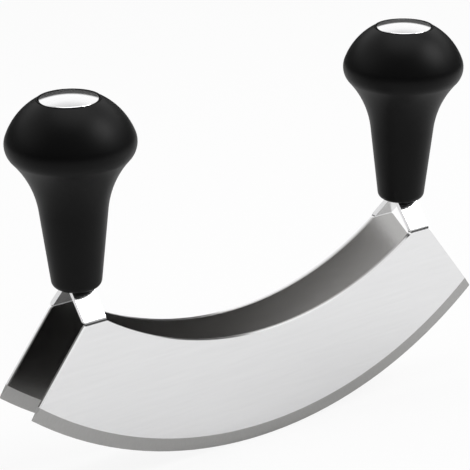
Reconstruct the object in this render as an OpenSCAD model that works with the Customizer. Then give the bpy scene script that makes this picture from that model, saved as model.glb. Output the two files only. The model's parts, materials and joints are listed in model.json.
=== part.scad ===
// Mezzaluna: a rocking herb chopper with a pair of crescent blades and an upright knob at each end.
// Millimetres. X runs along the blades, Y across them and Z up.
// The cutting edges touch Z = 0 at the middle of their length.

/* [Blades] */
// Length of each blade, straight across between the corners of its cutting edge
blade_len = 180; // [160:1:200]
// Radius of the curved cutting edge
edge_r = 143.5; // [130:0.5:170]
// Radius of the curved spine
spine_r = 107; // [100:0.5:125]
// Depth of the blade at its middle, from cutting edge to spine
blade_depth = 38.7; // [32:0.1:42]
// Thickness of the blade sheet
blade_t = 1.6; // [1.2:0.1:2.5]
// Clear gap between the two blades
blade_gap = 18.5; // [12:0.5:26]
// Slope of each blade end, from the vertical
end_angle = 37.4; // [30:0.1:42]
// Width of the band ground along the cutting edge, on both faces
grind_w = 4.8; // [3:0.1:8]
// Width of the flat left at the very edge
edge_land = 0.3; // [0.1:0.05:0.5]

/* [Tangs] */
// Distance from the corner of the cutting edge in to the axis of the knob
knob_inset = 24.2; // [22:0.1:26]
// Width of each tang
tang_w = 7.8; // [6:0.1:9]
// Lean of the tang towards the other blade, from the vertical
tang_lean = 42; // [34:0.5:48]
// Inside radius of the tang's bends
bend_r = 1.5; // [0.8:0.1:2.5]
// Height of the lower bend above the corner where blade end, spine and tang meet
bend_rise = 0.6; // [0.4:0.1:2]
// Length of the upright tip of the tang, inside the knob
tip_len = 16; // [14:0.5:20]
// Radius of the fillet between spine and tang
spine_fillet = 1.5; // [0.8:0.1:3]
// Radius that rounds the corner between blade end and tang
corner_round = 4; // [2:0.5:6]

/* [Knobs] */
// Diameter of the knob's head at its widest
knob_d = 40.8; // [36:0.2:46]
// Height of the knob from its foot to the crown of its dome
knob_h = 63.7; // [58:0.1:72]
// How much the dome's radius is larger than the head's
dome_extra = 0.9; // [0.3:0.1:3]
// Radius of the round under-edge of the head
head_round = 7; // [5:0.1:8]
// Radius of the hollow flare between neck and head
flare_r = 31; // [26:0.5:36]
// Diameter of the neck at the knob's foot
neck_d = 15.6; // [14.5:0.1:18]
// Taper of the neck, on each side
neck_taper = 6.7; // [5:0.1:8]
// Radius of the rounded foot
foot_round = 2.5; // [1:0.1:3]
// Depth of the flared mouth that seats on the leaning tangs
mouth_depth = 0.7; // [0.4:0.1:1.2]

/* [Caps] */
// Diameter of the steel cap
cap_d = 18.6; // [17:0.1:21]
// Width of the groove round the cap
cap_groove = 0.25; // [0.1:0.05:0.5]
// Thickness of the cap's rim
cap_rim = 1.2; // [0.9:0.1:1.6]
// Rise of the cap's dome above its rim
cap_rise = 1.3; // [0.6:0.1:2]
// Rounding of the cap's rim
cap_round = 0.4; // [0.2:0.1:0.6]
// Length of the cap's skirt, which presses into the pocket
skirt_len = 3; // [2:0.1:3.5]
// Wall of the cap's skirt
skirt_t = 1; // [0.8:0.1:1.5]

/* [Fixings] */
// Diameter of the threaded stud
stud_d = 5; // [4:0.5:5]
// Thickness of the stud's flat foot, held between the tang tips
foot_t = 1.8; // [1.4:0.1:2.4]
// Width of the stud's flat foot
foot_w = 7.2; // [6:0.1:7.6]
// Length of stud that stands above its nut
stud_proud = 1; // [0.5:0.1:1.5]
// Diameter of the rivets through tangs and stud
rivet_d = 3; // [2.5:0.1:3.5]
// Distance between the rivets
rivet_pitch = 7; // [5.5:0.1:8]
// Outer diameter of the washer
washer_d = 10; // [9.5:0.1:11]
// Thickness of the washer
washer_t = 1; // [0.8:0.1:1.2]
// Size of the hexagon nut, across its flats
nut_af = 8; // [7:0.1:8.5]
// Height of the nut
nut_h = 4; // [3.2:0.1:4.5]
// Diameter of the nut's pocket in the knob
pocket_d = 14; // [12.5:0.1:15]
// Depth of the nut's pocket below the cap's seat
pocket_depth = 11; // [10.5:0.1:14]

/* [Fits] */
// Clearance on each side of the tangs in the knob
tang_clear = 0.1; // [0.05:0.05:0.3]
// Clearance round the stud in the knob and the washer
stud_clear = 0.25; // [0.1:0.05:0.5]
// Clearance round rivets, nut thread and cap skirt
press_clear = 0.05; // [0.02:0.01:0.1]

/* [Hidden] */
$fn = 96;
// Steps in each arc of a turned profile
arc_steps = 12;
// Overshoot of cutting solids
over = 1;

// Sides: front and rear of the object along Y, left and right along X
FRONT = -1;
REAR = 1;
LEFT = -1;
RIGHT = 1;

// Blade outline, seen from the front
edge_centre = [0, edge_r];
spine_centre = [0, blade_depth + spine_r];
corner_x = blade_len / 2;
corner_z = edge_r - sqrt(pow(edge_r, 2) - pow(corner_x, 2));
tang_x = corner_x - knob_inset;
tang_in = tang_x - tang_w / 2;
tang_out = tang_x + tang_w / 2;
// Heights at which the blade end and the spine meet the sides of the tang
end_meet_z = corner_z + (corner_x - tang_out) / tan(end_angle);
spine_meet_z = spine_centre[1] - sqrt(pow(spine_r, 2) - pow(tang_in, 2));

// Folded sheet, seen from the end
outer_y = blade_gap / 2 + blade_t;
mid_y = blade_gap / 2 + blade_t / 2;
tip_y = foot_t / 2 + blade_t / 2;
bend_mid_r = bend_r + blade_t / 2;
bend_reach = bend_mid_r * tan(tang_lean / 2);
// Corner of the outer faces at the lower bend, and the same corner on the sheet's middle
bend_z = max(end_meet_z, spine_meet_z) + bend_rise;
fold_low_z = bend_z - blade_t / 2 * tan(tang_lean / 2);
fold_high_z = fold_low_z + (mid_y - tip_y) / tan(tang_lean);
tip_z = fold_high_z + bend_reach + tip_len;

// Knob
stack_t = foot_t + 2 * blade_t;
seat_corner_z = bend_z + (outer_y - stack_t / 2) / tan(tang_lean);
knob_z = seat_corner_z - mouth_depth;
knob_r = knob_d / 2;
dome_r = knob_r + dome_extra;
dome_centre = [0, knob_h - dome_r];
head_x = knob_r - head_round;
head_centre = [head_x, dome_centre[1] + sqrt(pow(dome_r - head_round, 2) - pow(head_x, 2))];
// The flare's centre lies on the neck's line moved out by the flare's radius,
// as far from the head's centre as both radii together
neck_along = [sin(neck_taper), cos(neck_taper)];
neck_across = [cos(neck_taper), -sin(neck_taper)];
flare_start = [neck_d / 2, 0] + flare_r * neck_across;
flare_offset = flare_start - head_centre;
flare_half = flare_offset * neck_along;
flare_gap = flare_offset * flare_offset - pow(flare_r + head_round, 2);
flare_travel = -flare_half - sqrt(pow(flare_half, 2) - flare_gap);
flare_centre = flare_start + flare_travel * neck_along;
head_join = head_centre - flare_centre;
head_join_angle = atan2(head_join[1], head_join[0]);
dome_join_angle = atan2(head_centre[1] - dome_centre[1], head_centre[0]);
foot_x = neck_d / 2 - foot_round * (1 - sin(neck_taper)) / cos(neck_taper);

// Cap, pocket and stud, measured from the knob's foot
seat_r = cap_d / 2 + cap_groove;
seat_rim_h = dome_centre[1] + sqrt(pow(dome_r, 2) - pow(seat_r, 2));
seat_h = seat_rim_h - cap_rim;
pocket_h = seat_h - pocket_depth;
stud_top_z = knob_z + pocket_h + washer_t + nut_h + stud_proud;
stud_foot_z = fold_high_z + bend_reach;
shank_z = tip_z + stud_clear;
rivet_mid_z = (stud_foot_z + tip_z) / 2;
cap_dome_r = (pow(cap_d / 2 - cap_round, 2) + pow(cap_rise, 2)) / (2 * cap_rise);

// Points along an arc, from one angle to another
function arc(centre, r, from, to, steps = arc_steps) =
    [for (i = [0:steps]) let (a = from + (to - from) * i / steps) centre + r * [cos(a), sin(a)]];

// One face of the folded sheet of the front blade, seen from the end: [distance from the middle
// plane, height]. Offset is the face's distance outside the middle of the sheet.
function folded_face(offset) = concat(
    [[mid_y + offset, -over]],
    arc([mid_y - bend_mid_r, fold_low_z - bend_reach], bend_mid_r + offset, 0, tang_lean),
    arc([tip_y + bend_mid_r, fold_high_z + bend_reach], bend_mid_r - offset, 180 + tang_lean, 180),
    [[tip_y + offset, tip_z]]
);

function reversed(points) = [for (i = [len(points) - 1:-1:0]) points[i]];

module folded_section() {
    polygon(concat(folded_face(blade_t / 2), reversed(folded_face(-blade_t / 2))));
}

// Small infill between spine and tang, with a round hollow edge
module spine_infill() {
    centre_x = tang_in - spine_fillet;
    reach = sqrt(pow(spine_r - spine_fillet, 2) - pow(centre_x, 2));
    centre = [centre_x, spine_centre[1] - reach];
    outward = (centre - spine_centre) / (spine_r - spine_fillet);
    difference() {
        polygon([centre,
                 centre + (spine_fillet + 0.2) * outward,
                 [tang_in + 0.2, spine_meet_z - 0.2],
                 [tang_in + 0.2, centre[1]]]);
        translate(centre)
            circle(r = spine_fillet);
    }
}

// What rounds off the corner between blade end and tang
module corner_cut() {
    reach = corner_round * tan(end_angle / 2);
    centre = [tang_out - corner_round, end_meet_z + reach];
    difference() {
        polygon([[tang_out - 0.3, end_meet_z],
                 [tang_out + over, end_meet_z - over],
                 [tang_out + over, centre[1]],
                 [tang_out - 0.3, centre[1]]]);
        translate(centre)
            circle(r = corner_round);
    }
}

// Right half of the blade's outline, from the front
module half_outline() {
    top_z = tip_z + over;
    top_x = corner_x - (top_z - corner_z) * tan(end_angle);
    low_x = corner_x + (corner_z + over) * tan(end_angle);
    difference() {
        union() {
            intersection() {
                difference() {
                    translate(edge_centre)
                        circle(r = edge_r, $fn = 360);
                    translate(spine_centre)
                        circle(r = spine_r, $fn = 360);
                }
                polygon([[0, -over], [low_x, -over], [top_x, top_z], [0, top_z]]);
                translate([0, -over])
                    square([corner_x, bend_z + tang_w + over]);
            }
            translate([tang_in, end_meet_z - tang_w / 2])
                square([tang_w, tip_z - end_meet_z + tang_w / 2]);
            spine_infill();
        }
        corner_cut();
    }
}

// Ring that grinds one face of the edge down towards its middle
module grinding_ring() {
    slope = (blade_t - edge_land) / 2 / grind_w;
    rotate_extrude($fn = 360)
        polygon([[edge_r - grind_w - over, blade_t / 2 + slope * over],
                 [edge_r + over, edge_land / 2 - slope * over],
                 [edge_r + over, blade_t + over],
                 [edge_r - grind_w - over, blade_t + over]]);
}

module grinding(side) {
    translate([0, -mid_y, edge_r])
        rotate([side * 90, 0, 0])
            grinding_ring();
}

module blade() {
    color("gainsboro")
        difference() {
            intersection() {
                translate([-corner_x - over, 0, 0])
                    rotate([90, 0, 90])
                        linear_extrude(blade_len + 2 * over)
                            mirror([1, 0])
                                folded_section();
                rotate([90, 0, 0])
                    linear_extrude(outer_y + over)
                        for (side = [LEFT, RIGHT])
                            scale([side, 1])
                                half_outline();
            }
            grinding(FRONT);
            grinding(REAR);
            for (side = [LEFT, RIGHT])
                rivet_holes(side);
        }
}

module front_blade() {
    blade();
}

module rear_blade() {
    mirror([0, 1, 0])
        blade();
}

// Places its children on the axis of one knob
module at_knob(side) {
    translate([side * tang_x, 0, 0])
        children();
}

// Pins or holes across the tangs and the stud's foot
module rivet_row(side, d, length) {
    at_knob(side)
        for (step = [-0.5, 0.5])
            translate([0, length / 2, rivet_mid_z + step * rivet_pitch])
                rotate([90, 0, 0])
                    cylinder(d = d, h = length, $fn = 48);
}

module rivet_holes(side) {
    rivet_row(side, rivet_d + 2 * press_clear, stack_t + 2 * over);
}

// Outline of the knob's right half, from its foot up to the crown
function knob_profile() = concat(
    [[0, 0]],
    arc([foot_x, foot_round], foot_round, -90, -neck_taper),
    arc(flare_centre, flare_r, 180 - neck_taper, head_join_angle, 2 * arc_steps),
    arc(head_centre, head_round, head_join_angle - 180, dome_join_angle, 2 * arc_steps),
    arc(dome_centre, dome_r, dome_join_angle, 90, 2 * arc_steps)
);

// Slot for the tangs, with a mouth that flares as they lean
module tang_slot() {
    half = stack_t / 2 + tang_clear;
    wide = half + (mouth_depth + over) * tan(tang_lean);
    top = tip_z - knob_z + stud_clear;
    translate([-tang_w / 2 - tang_clear, 0, 0])
        rotate([90, 0, 90])
            linear_extrude(tang_w + 2 * tang_clear)
                polygon([[-wide, -over], [wide, -over], [half, mouth_depth], [half, top],
                         [-half, top], [-half, mouth_depth]]);
}

module knob(side) {
    color("#1c1c1c")
        at_knob(side)
            translate([0, 0, knob_z])
                difference() {
                    rotate_extrude()
                        polygon(knob_profile());
                    tang_slot();
                    cylinder(d = stud_d + 2 * stud_clear, h = knob_h);
                    translate([0, 0, pocket_h])
                        cylinder(d = pocket_d, h = knob_h);
                    translate([0, 0, seat_h])
                        cylinder(r = seat_r, h = knob_h);
                }
}

// Domed cap with a hollow skirt, measured from its seat
function cap_profile() = concat(
    [[0, 0], [pocket_d / 2 - press_clear - skirt_t, 0],
     [pocket_d / 2 - press_clear - skirt_t, -skirt_len],
     [pocket_d / 2 - press_clear, -skirt_len],
     [pocket_d / 2 - press_clear, 0],
     [cap_d / 2, 0]],
    arc([cap_d / 2 - cap_round, cap_rim - cap_round], cap_round, 0, 90, 6),
    arc([0, cap_rim + cap_rise - cap_dome_r], cap_dome_r, acos((cap_d / 2 - cap_round) / cap_dome_r) , 90)
);

module cap(side) {
    color("white")
        at_knob(side)
            translate([0, 0, knob_z + seat_h])
                rotate_extrude()
                    polygon(cap_profile());
}

module stud(side) {
    color("silver")
        difference() {
            at_knob(side) {
                translate([0, 0, shank_z])
                    cylinder(d = stud_d, h = stud_top_z - shank_z);
                translate([-foot_w / 2, -foot_t / 2, stud_foot_z])
                    cube([foot_w, foot_t, shank_z - stud_foot_z]);
            }
            rivet_holes(side);
        }
}

module rivets(side) {
    color("dimgray")
        rivet_row(side, rivet_d, stack_t);
}

module washer(side) {
    color("lightgray")
        at_knob(side)
            translate([0, 0, knob_z + pocket_h])
                difference() {
                    cylinder(d = washer_d, h = washer_t);
                    translate([0, 0, -over])
                        cylinder(d = stud_d + 2 * stud_clear, h = washer_t + 2 * over);
                }
}

module nut(side) {
    color("darkgray")
        at_knob(side)
            translate([0, 0, knob_z + pocket_h + washer_t])
                difference() {
                    cylinder(d = nut_af / cos(30), h = nut_h, $fn = 6);
                    translate([0, 0, -over])
                        cylinder(d = stud_d + 2 * press_clear, h = nut_h + 2 * over);
                }
}

front_blade();
rear_blade();
knob(LEFT);  // left_knob
cap(LEFT);  // left_cap
stud(LEFT);  // left_stud
rivets(LEFT);  // left_rivets
washer(LEFT);  // left_washer
nut(LEFT);  // left_nut
knob(RIGHT);  // right_knob
cap(RIGHT);  // right_cap
stud(RIGHT);  // right_stud
rivets(RIGHT);  // right_rivets
washer(RIGHT);  // right_washer
nut(RIGHT);  // right_nut
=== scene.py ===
"""Mezzaluna: finishes of the blades, turned knobs and caps, with studio light and the camera.

X runs along the blades, Y across them and Z up. The cutting edges touch Z = 0. Blender works in
metres. Sizes of the part are named here in millimetres, and those of the studio in metres.
"""
import json
import math

import bpy
import numpy as np
from mathutils import Matrix, Vector

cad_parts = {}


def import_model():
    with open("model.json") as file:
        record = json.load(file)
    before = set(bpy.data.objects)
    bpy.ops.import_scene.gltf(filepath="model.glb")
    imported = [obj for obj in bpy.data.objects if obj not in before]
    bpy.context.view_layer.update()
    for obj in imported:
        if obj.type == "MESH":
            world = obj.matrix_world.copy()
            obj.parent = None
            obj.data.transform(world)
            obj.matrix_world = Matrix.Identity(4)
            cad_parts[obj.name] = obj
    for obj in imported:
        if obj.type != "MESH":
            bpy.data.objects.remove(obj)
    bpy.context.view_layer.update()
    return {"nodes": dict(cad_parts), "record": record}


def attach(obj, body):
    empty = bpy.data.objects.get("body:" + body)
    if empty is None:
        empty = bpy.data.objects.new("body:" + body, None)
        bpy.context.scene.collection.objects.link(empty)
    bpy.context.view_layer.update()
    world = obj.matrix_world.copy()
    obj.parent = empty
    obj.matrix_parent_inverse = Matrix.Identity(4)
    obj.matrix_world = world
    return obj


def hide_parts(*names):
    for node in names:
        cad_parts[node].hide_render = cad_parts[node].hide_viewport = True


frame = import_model()

MM = 0.001
SIDES = {"left": -1, "right": 1}

# Radius of the cutting edge, whose centre lies straight above the blade's middle
EDGE_R = 143.5
# Width of the band ground along the cutting edge
GRIND_W = 4.8
# Distance of each sheet's middle from the plane between the blades
SHEET_Y = 10.05
# Height just under the folds of the tangs, up to which the inner faces are dull
FOLD_Z = 58.5
# Width over which one finish of the steel gives way to the next, and the same at the folds
FINISH_EDGE = 0.125
FOLD_EDGE = 0.5
# Painted shade on the inner faces: place along the blade where it is darkest, and the length over
# which it fades out
PAINTED_SHADE_X = -88.0
PAINTED_SHADE_RUN = 60.0
# Grinding marks: how many grains to the radian, and how far they are drawn out inwards and across
MARKS_PER_RADIAN = 900.0
MARKS_INWARDS = 0.5
MARKS_ACROSS = 0.3

# Place of each knob's axis, and height of its foot
KNOB_X = 65.8
KNOB_Z = 67.6
# Knob: widest radius, height, dome, round under-edge of the head and hollow flare
KNOB_R = 20.4
KNOB_H = 63.7
DOME_R = 21.3
HEAD_ROUND = 7.0
FLARE_R = 31.0
# Neck at the foot, its taper on each side, and the rounding of the foot
NECK_R = 7.8
NECK_TAPER = math.radians(6.7)
FOOT_ROUND = 2.5
# Mouth round the tangs: radius, depth, height of its wall, and how far it opens and closes
MOUTH_R = 4.6
MOUTH_DEPTH = 1.2
MOUTH_WALL = 0.4
MOUTH_FLARE = 0.3
MOUTH_FLOOR_IN = 0.6

# Cap: radius, groove left round it, thickness of its rim, rise of its dome, rounding of its rim
CAP_R = 9.3
CAP_GROOVE = 0.25
CAP_RIM = 1.2
CAP_RISE = 1.3
CAP_ROUND = 0.4
# Chamfer under the cap's rim, and the angle at which the rim's rounding starts
CAP_CHAMFER = 0.3
CAP_ROUND_START = -0.2
# Gap between cap and seat, on each side of the seat's height
SEAT_GAP = 0.02
# Bevel in the corner of the seat
SEAT_BEVEL = 0.1
# Rounding of the seat's lip, and how far past its top it starts, in radians
LIP_R = 0.25
LIP_START = 0.4

# Facets round a turned piece
TURNED_FACETS = 160

# Colours between which each finish varies
POLISHED_STEEL = ((0.80, 0.80, 0.805, 1), (0.88, 0.88, 0.885, 1))
GROUND_STEEL = ((0.36, 0.357, 0.35, 1), (0.48, 0.476, 0.47, 1))
ROLLED_STEEL = ((0.44, 0.435, 0.43, 1), (0.56, 0.553, 0.545, 1))
BLACK_PLASTIC = ((0.0018, 0.0018, 0.0019, 1), (0.0036, 0.0036, 0.0037, 1))
BRIGHT_STEEL = ((0.86, 0.86, 0.865, 1), (0.92, 0.92, 0.925, 1))
ZINC = ((0.45, 0.45, 0.46, 1), (0.62, 0.62, 0.62, 1))
# Colour of the painted shade at the inner faces' darkest end
PAINTED_SHADE_STEEL = (0.16, 0.158, 0.155, 1)

# Camera: turned, raised and rolled as measured on the photograph
CAMERA_TURN = math.radians(35.2437)
CAMERA_RAISE = math.radians(21.3603)
CAMERA_ROLL = math.radians(-0.7395)
CAMERA_PLACE = Vector((-0.3630222, -0.5067456, 0.3128863))
FOCAL_PIXELS = 2026.758
IMAGE_PIXELS = 470
SENSOR_MM = 36.0

# Floor: half its side, its grey, and the share of plain white that the camera sees in it
FLOOR_HALF = 0.75
FLOOR_GREY = 0.86
FLOOR_GLOW = 0.88
# Dark card behind the part: its distance, half its width, its lower and upper edge, and its finish
CARD_AWAY = 1.0
CARD_HALF = 1.6
CARD_LOW = 0.001
CARD_HIGH = 0.40
CARD_GREY = 0.16
CARD_ROUGH = 0.9
# Brightness of the surroundings, by the sine of the height above the horizon
SKY = ((0.0, 0.08), (0.25, 0.11), (0.33, 1.12), (0.6, 1.05), (0.88, 0.5))
# Surroundings on the camera's side: how far towards it they are dimmed in full, and what is left
CAMERA_SIDE = 0.6
CAMERA_SIDE_LIGHT = 0.25


# Meshes

def add_object(name, verts, faces):
    """New object from corners in metres."""
    mesh = bpy.data.meshes.new(name)
    mesh.from_pydata(verts, [], faces)
    obj = bpy.data.objects.new(name, mesh)
    bpy.context.scene.collection.objects.link(obj)
    return obj


def arc(centre, radius, start, stop, steps):
    """Points centre + radius (cos a, sin a), with a going evenly from start to stop."""
    a = np.linspace(start, stop, steps + 1)[:, None]
    return np.asarray(centre) + radius * np.hstack([np.cos(a), np.sin(a)])


def turned(name, profile, x, z):
    """Surface of revolution: each profile point (r, h) is carried round the upright axis at x,
    as (x + r cos a, r sin a, z + h). The profile starts and ends on the axis and closes there."""
    profile = np.asarray(profile, float)
    ring = profile[1:-1]
    a = np.arange(TURNED_FACETS) * 2 * math.pi / TURNED_FACETS
    grid = np.empty((len(ring), TURNED_FACETS, 3))
    grid[..., 0] = x + ring[:, :1] * np.cos(a)
    grid[..., 1] = ring[:, :1] * np.sin(a)
    grid[..., 2] = z + ring[:, 1:]
    poles = [[x, 0, z + profile[0, 1]], [x, 0, z + profile[-1, 1]]]
    verts = np.vstack([grid.reshape(-1, 3), poles])
    foot_pole = len(verts) - 2
    top_pole = len(verts) - 1
    row = np.arange(len(ring) - 1)[:, None] * TURNED_FACETS
    here = np.arange(TURNED_FACETS)
    beside = (here + 1) % TURNED_FACETS
    above = row + TURNED_FACETS
    sides = np.stack([row + here, row + beside, above + beside, above + here], -1).reshape(-1, 4)
    last = (len(ring) - 1) * TURNED_FACETS
    foot = np.stack([np.full(TURNED_FACETS, foot_pole), beside, here], -1)
    top = np.stack([np.full(TURNED_FACETS, top_pole), last + here, last + beside], -1)
    obj = add_object(name, (verts * MM).tolist(), sides.tolist() + foot.tolist() + top.tolist())
    obj.data.validate()
    obj.data.polygons.foreach_set("use_smooth", np.ones(len(obj.data.polygons), bool))
    return obj


def seat_height():
    """Height above the knob's foot at which the cap rests: the rim of the seat, where the dome
    reaches the groove's radius, less the thickness of the cap's rim."""
    return KNOB_H - DOME_R + DOME_R * math.sin(math.acos((CAP_R + CAP_GROOVE) / DOME_R)) - CAP_RIM


def knob_profile():
    """Mouth, foot, neck line, hollow flare, round head and dome, each arc tangent to the next, and
    then the seat of the cap. The flare's centre lies on the neck's line moved out by the flare's
    radius, as far from the head's centre as both radii together."""
    dome = np.array([0, KNOB_H - DOME_R])
    head_x = KNOB_R - HEAD_ROUND
    head = np.array([head_x, dome[1] + math.sqrt((DOME_R - HEAD_ROUND) ** 2 - head_x ** 2)])
    along = np.array([math.sin(NECK_TAPER), math.cos(NECK_TAPER)])
    across = np.array([math.cos(NECK_TAPER), -math.sin(NECK_TAPER)])
    start = np.array([NECK_R, 0]) + FLARE_R * across
    offset = start - head
    half = offset @ along
    travel = -half - math.sqrt(half ** 2 - offset @ offset + (FLARE_R + HEAD_ROUND) ** 2)
    flare = start + travel * along
    join = math.atan2(*(head - flare)[::-1])
    crown = math.atan2(head[1] - dome[1], head[0])
    foot_x = NECK_R - FOOT_ROUND * (1 - math.sin(NECK_TAPER)) / math.cos(NECK_TAPER)
    seat_r = CAP_R + CAP_GROOVE
    seat_angle = math.acos(seat_r / DOME_R)
    rim_h = dome[1] + DOME_R * math.sin(seat_angle)
    seat_h = rim_h - CAP_RIM
    flare_start = math.pi - NECK_TAPER
    foot = arc((foot_x, FOOT_ROUND), FOOT_ROUND, -math.pi / 2, -NECK_TAPER, steps=16)
    neck_top = flare + FLARE_R * np.array([math.cos(flare_start), math.sin(flare_start)])
    neck = foot[-1] + np.linspace(0, 1, 24)[1:-1, None] * (neck_top - foot[-1])
    return np.vstack([
        [[0, MOUTH_DEPTH], [MOUTH_R - MOUTH_FLOOR_IN, MOUTH_DEPTH]],
        [[MOUTH_R, MOUTH_WALL], [MOUTH_R + MOUTH_FLARE, 0]],
        foot,
        neck,
        arc(flare, FLARE_R, flare_start, join, steps=48),
        arc(head, HEAD_ROUND, join - math.pi, crown, steps=40)[1:],
        arc(dome, DOME_R, crown, seat_angle - LIP_R / DOME_R, steps=40)[1:],
        arc((seat_r + LIP_R, rim_h - LIP_R), LIP_R, math.pi / 2 - LIP_START, math.pi, steps=8)[1:],
        [[seat_r, seat_h], [seat_r - SEAT_BEVEL, seat_h - SEAT_GAP], [0, seat_h - SEAT_GAP]],
    ])


def cap_profile():
    """Flat underside, chamfer, rounded rim and shallow dome of the cap. The dome is the sphere that
    rises by CAP_RISE over the radius left inside the rounding."""
    flat = CAP_R - CAP_ROUND
    sphere = (flat ** 2 + CAP_RISE ** 2) / (2 * CAP_RISE)
    crown_h = CAP_RIM + CAP_RISE
    dome = arc((0, crown_h - sphere), sphere, math.acos(flat / sphere), math.pi / 2, steps=40)
    dome_start = math.atan2(*(dome[1] - dome[0])[::-1]) - math.pi / 2
    rim = arc((flat, CAP_RIM - CAP_ROUND), CAP_ROUND, CAP_ROUND_START, dome_start, steps=10)
    return np.vstack([
        [[0, SEAT_GAP], [CAP_R - CAP_CHAMFER, SEAT_GAP], [CAP_R, CAP_CHAMFER]],
        rim[1:],
        dome[1:-1],
        [[0, crown_h]],
    ])


# Shader values and nodes

class Value:
    """A node's output. Operators on it add Math nodes, so that a finish reads as an expression."""

    def __init__(self, graph, socket):
        self.graph = graph
        self.socket = socket

    def maths(self, operation, *terms, clamp=False):
        """A Math node on the given terms, in their order."""
        settings = {"operation": operation, "use_clamp": clamp}
        return self.graph.add("ShaderNodeMath", settings, dict(enumerate(terms)))

    def __add__(self, other):
        return self.maths("ADD", self, other)

    def __radd__(self, other):
        return self.maths("ADD", other, self)

    def __sub__(self, other):
        return self.maths("SUBTRACT", self, other)

    def __rsub__(self, other):
        return self.maths("SUBTRACT", other, self)

    def __mul__(self, other):
        return self.maths("MULTIPLY", self, other)

    def __rmul__(self, other):
        return self.maths("MULTIPLY", other, self)

    def __truediv__(self, other):
        return self.maths("DIVIDE", self, other)

    def __rtruediv__(self, other):
        return self.maths("DIVIDE", other, self)

    def root(self):
        return self.maths("SQRT", self)

    def size(self):
        return self.maths("ABSOLUTE", self)

    def angle_to(self, other):
        """Angle whose tangent is this value over the other."""
        return self.maths("ARCTAN2", self, other)

    def clamped(self):
        return self.maths("ADD", self, 0.0, clamp=True)

    def rising(self, start, width):
        """0 up to the start, and from there evenly to 1 over the width."""
        return ((self - start) / width).clamped()

    def falling(self, end, width):
        """0 from the end on, and 1 where the value is smaller by the width or more."""
        return ((end - self) / width).clamped()


# Socket numbers of a Mix node that mixes colours
MIX_FACTOR = 0
MIX_FIRST = 6
MIX_SECOND = 7
MIX_RESULT = 2


def grey(brightness):
    return (brightness, brightness, brightness, 1.0)


def set_stops(elements, stops):
    """A new ramp has two stops: they are moved, and the others are added."""
    for index, (position, brightness) in enumerate(stops):
        stop = elements[index] if index < 2 else elements.new(position)
        stop.position = position
        stop.color = grey(brightness)


class Graph:
    """The nodes of one material, or of the world."""

    def __init__(self, owner):
        owner.use_nodes = True
        self.owner = owner
        self.tree = owner.node_tree
        self.tree.nodes.clear()

    def add(self, kind, settings=None, sockets=None, output=0):
        """A node: its settings are set first, and then its sockets get their values or links."""
        node = self.tree.nodes.new(kind)
        for name, setting in (settings or {}).items():
            if name == "stops":
                set_stops(node.color_ramp.elements, setting)
            else:
                setattr(node, name, setting)
        for name, given in (sockets or {}).items():
            if isinstance(given, Value):
                self.tree.links.new(given.socket, node.inputs[name])
            else:
                node.inputs[name].default_value = given
        return Value(self, node.outputs[output]) if node.outputs else None

    def split(self, vector):
        """The three numbers of a vector."""
        node = self.add("ShaderNodeSeparateXYZ", sockets={"Vector": vector}).socket.node
        return [Value(self, output) for output in node.outputs]

    def mix(self, factor, first, second):
        """The first colour where the factor is 0, and the second where it is 1."""
        sockets = {MIX_FACTOR: factor, MIX_FIRST: first, MIX_SECOND: second}
        return self.add("ShaderNodeMix", {"data_type": "RGBA"}, sockets, MIX_RESULT)

    def noise(self, place, scale, detail, stretch=(1, 1, 1)):
        """Noise from 0 to 1 whose grains are about 1 / scale metres, longer where stretch is small."""
        vector = self.add("ShaderNodeMapping", sockets={"Vector": place, "Scale": stretch})
        sockets = {"Vector": vector, "Scale": scale, "Detail": detail}
        return self.add("ShaderNodeTexNoise", sockets=sockets)

    def bump(self, height, strength, depth):
        """Normal of a relief whose depth is in metres."""
        sockets = {"Height": height, "Strength": strength, "Distance": depth}
        return self.add("ShaderNodeBump", sockets=sockets)

    def finish(self, **sockets):
        """Principled shader with the given sockets, as the material's surface."""
        sockets = {name.replace("_", " "): given for name, given in sockets.items()}
        shader = self.add("ShaderNodeBsdfPrincipled", sockets=sockets)
        self.add("ShaderNodeOutputMaterial", sockets={"Surface": shader})
        return self.owner


# Finishes

def blade_steel():
    """Polished sheet with a faint grain along the blade. The edge band is darker, duller and marked
    by cross grinding. The inner faces keep the dull finish of the rolling mill, with painted shade
    that darkens them towards the left end."""
    graph = Graph(bpy.data.materials.new("blade_steel"))
    place = graph.add("ShaderNodeTexCoord", output="Object")
    x, y, z = [axis * (1 / MM) for axis in graph.split(place)]
    up = EDGE_R - z
    radius = (x * x + up * up).root()
    band = radius.rising(EDGE_R - GRIND_W, FINISH_EDGE)
    inner = y.size().falling(SHEET_Y, FINISH_EDGE) * z.falling(FOLD_Z, FOLD_EDGE)
    grain = graph.noise(place, 900, detail=4, stretch=(0.06, 1, 1))
    cloud = graph.noise(place, 14, detail=2)
    marks = {0: x.angle_to(up) * MARKS_PER_RADIAN, 1: radius * MARKS_INWARDS, 2: y * MARKS_ACROSS}
    marks_place = graph.add("ShaderNodeCombineXYZ", sockets=marks)
    sockets = {"Vector": marks_place, "Scale": 1.0, "Detail": 3.0}
    scratch = graph.add("ShaderNodeTexNoise", sockets=sockets)
    polished = graph.mix(grain, *POLISHED_STEEL)
    ground = graph.mix(scratch, *GROUND_STEEL)
    # Painted shade: the inner faces' colour is mixed towards a dark grey at the left end, standing in
    # for shade there
    rolled_with_painted_shade = graph.mix(x.rising(PAINTED_SHADE_X, PAINTED_SHADE_RUN), PAINTED_SHADE_STEEL, graph.mix(cloud, *ROLLED_STEEL))
    rough = 0.10 + cloud * 0.06 + grain * 0.04 + inner * 0.10
    relief = grain * (1 - band) * 0.25 + scratch * band
    return graph.finish(
        Metallic=1.0,
        Base_Color=graph.mix(band, graph.mix(inner, polished, rolled_with_painted_shade), ground),
        Roughness=rough + band * (0.24 + scratch * 0.12 - rough),
        Normal=graph.bump(relief, strength=0.12, depth=0.0001),
    )


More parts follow.
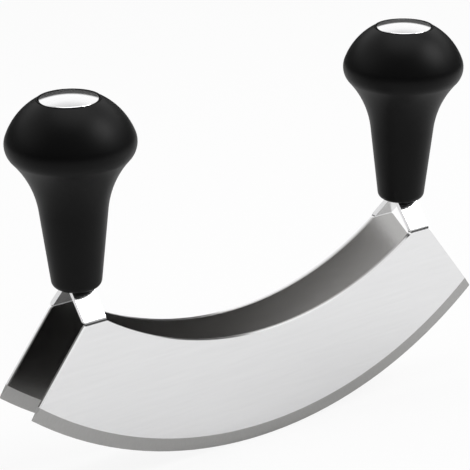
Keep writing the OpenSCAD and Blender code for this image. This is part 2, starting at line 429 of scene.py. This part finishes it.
def knob_plastic():
    """Black moulded plastic, faintly mottled, with a fine eggshell texture."""
    graph = Graph(bpy.data.materials.new("knob_plastic"))
    place = graph.add("ShaderNodeTexCoord", output="Object")
    fine = graph.noise(place, 2600, detail=3)
    cloud = graph.noise(place, 60, detail=3)
    return graph.finish(
        Specular_IOR_Level=0.13,
        Base_Color=graph.mix(cloud, *BLACK_PLASTIC),
        Roughness=0.34 + cloud * 0.08 + fine * 0.06,
        Normal=graph.bump(fine, strength=0.18, depth=0.00006),
    )


def cap_steel():
    """Bright polished steel with a very fine wear."""
    graph = Graph(bpy.data.materials.new("cap_steel"))
    place = graph.add("ShaderNodeTexCoord", output="Object")
    fine = graph.noise(place, 700, detail=4)
    return graph.finish(
        Metallic=1.0,
        Base_Color=graph.mix(fine, *BRIGHT_STEEL),
        Roughness=0.06 + fine * 0.05,
        Normal=graph.bump(fine, strength=0.03, depth=0.00005),
    )


def fixing_steel():
    """Zinc-plated steel, dull and slightly mottled."""
    graph = Graph(bpy.data.materials.new("fixing_steel"))
    place = graph.add("ShaderNodeTexCoord", output="Object")
    cloud = graph.noise(place, 400, detail=3)
    return graph.finish(
        Metallic=1.0,
        Base_Color=graph.mix(cloud, *ZINC),
        Roughness=0.3 + cloud * 0.2,
    )


def dress(obj, material):
    """Gives an object one material over its whole surface."""
    obj.data.materials.clear()
    obj.data.materials.append(material)


# Blades and fixings keep their solids and get their finish; knobs and caps are turned anew

MATERIALS = {
    "blade_steel": blade_steel(),
    "knob_plastic": knob_plastic(),
    "cap_steel": cap_steel(),
    "fixing_steel": fixing_steel(),
}

for entry in frame["record"]["subparts"]:
    dress(frame["nodes"][entry["node"]], MATERIALS[entry["material_slot"]])

for side_name, side in SIDES.items():
    knob = turned(side_name + "_knob_shell", knob_profile(), side * KNOB_X, KNOB_Z)
    dress(knob, MATERIALS["knob_plastic"])
    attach(knob, "root")
    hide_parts(side_name + "_knob")
    cap = turned(side_name + "_cap_disc", cap_profile(), side * KNOB_X, KNOB_Z + seat_height())
    dress(cap, MATERIALS["cap_steel"])
    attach(cap, "root")
    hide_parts(side_name + "_cap")


# Studio

def floor():
    """Pale floor. The camera sees it nearly white, with a trace of the object's shadow."""
    low, high = -FLOOR_HALF, FLOOR_HALF
    corners = [(low, low, 0), (high, low, 0), (high, high, 0), (low, high, 0)]
    obj = add_object("floor", corners, [(0, 1, 2, 3)])
    graph = Graph(bpy.data.materials.new("floor_white"))
    camera_ray = graph.add("ShaderNodeLightPath", output="Is Camera Ray")
    lit = graph.add("ShaderNodeBsdfDiffuse", sockets={"Color": grey(FLOOR_GREY)})
    white = graph.add("ShaderNodeEmission")
    seen = graph.add("ShaderNodeMixShader", sockets={0: camera_ray * FLOOR_GLOW, 1: lit, 2: white})
    graph.add("ShaderNodeOutputMaterial", sockets={"Surface": seen})
    dress(obj, graph.owner)


def flag():
    """Dark card standing behind the object, seen only in reflections: it darkens the caps' rear."""
    away = Vector((math.sin(CAMERA_TURN), math.cos(CAMERA_TURN), 0)) * CARD_AWAY
    level = Vector((math.cos(CAMERA_TURN), -math.sin(CAMERA_TURN), 0)) * CARD_HALF
    low = Vector((0, 0, CARD_LOW))
    high = Vector((0, 0, CARD_HIGH))
    corners = [away - level + low, away + level + low, away + level + high, away - level + high]
    obj = add_object("flag", corners, [(0, 1, 2, 3)])
    obj.visible_camera = False
    graph = Graph(bpy.data.materials.new("flag_black"))
    dress(obj, graph.finish(Base_Color=grey(CARD_GREY), Roughness=CARD_ROUGH))


def world():
    """White to the camera. What the object mirrors is bright above a low dark band, and dim on the
    camera's side, like a room with a large soft light overhead."""
    graph = Graph(bpy.data.worlds.new("studio"))
    bpy.context.scene.world = graph.owner
    ray = graph.add("ShaderNodeTexCoord", output="Generated")
    height = graph.split(ray)[2]
    sky = graph.add("ShaderNodeValToRGB", {"stops": SKY}, {"Fac": height})
    to_camera = (-math.sin(CAMERA_TURN), -math.cos(CAMERA_TURN), 0)
    dot = {"operation": "DOT_PRODUCT"}
    nearness = graph.add("ShaderNodeVectorMath", dot, {0: ray, 1: to_camera}, "Value")
    sockets = {"Value": nearness, "From Min": 0.0, "From Max": CAMERA_SIDE}
    sockets |= {"To Min": 1.0, "To Max": CAMERA_SIDE_LIGHT}
    share = graph.add("ShaderNodeMapRange", {"interpolation_type": "SMOOTHSTEP"}, sockets)
    dimmed = graph.add("ShaderNodeVectorMath", {"operation": "SCALE"}, {0: sky, "Scale": share})
    camera_ray = graph.add("ShaderNodeLightPath", output="Is Camera Ray")
    seen = graph.mix(camera_ray, dimmed, grey(1.0))
    background = graph.add("ShaderNodeBackground", sockets={"Color": seen})
    graph.add("ShaderNodeOutputWorld", sockets={"Surface": background})


def lamp(name, place, target, size, power):
    """Round soft light that faces its target."""
    data = bpy.data.lights.new(name, "AREA")
    data.shape = "DISK"
    data.size = size
    data.energy = power
    obj = bpy.data.objects.new(name, data)
    obj.location = place
    obj.rotation_euler = (Vector(target) - Vector(place)).to_track_quat("-Z", "Y").to_euler()
    bpy.context.scene.collection.objects.link(obj)


def camera():
    """Camera whose axes are its direction of view, and level and upright turned by the roll."""
    forward = Vector((math.sin(CAMERA_TURN) * math.cos(CAMERA_RAISE),
                      math.cos(CAMERA_TURN) * math.cos(CAMERA_RAISE), -math.sin(CAMERA_RAISE)))
    level = Vector((math.cos(CAMERA_TURN), -math.sin(CAMERA_TURN), 0))
    upright = level.cross(forward)
    right = math.cos(CAMERA_ROLL) * level + math.sin(CAMERA_ROLL) * upright
    top = math.cos(CAMERA_ROLL) * upright - math.sin(CAMERA_ROLL) * level
    data = bpy.data.cameras.new("camera")
    data.sensor_width = SENSOR_MM
    data.lens = FOCAL_PIXELS / IMAGE_PIXELS * SENSOR_MM
    obj = bpy.data.objects.new("camera", data)
    axes = Matrix((right, top, -forward)).transposed().to_4x4()
    obj.matrix_world = Matrix.Translation(CAMERA_PLACE) @ axes
    bpy.context.scene.collection.objects.link(obj)
    bpy.context.scene.camera = obj


floor()
flag()
world()
camera()
lamp("overhead", place=(0.1, 0.1, 1.4), target=(0, 0, 0.05), size=1.2, power=6)
lamp("right_soft_box", place=(0.70, -0.57, 0.98), target=(0, 0, 0.08), size=0.7, power=6)
bpy.context.scene.view_settings.view_transform = "Standard"
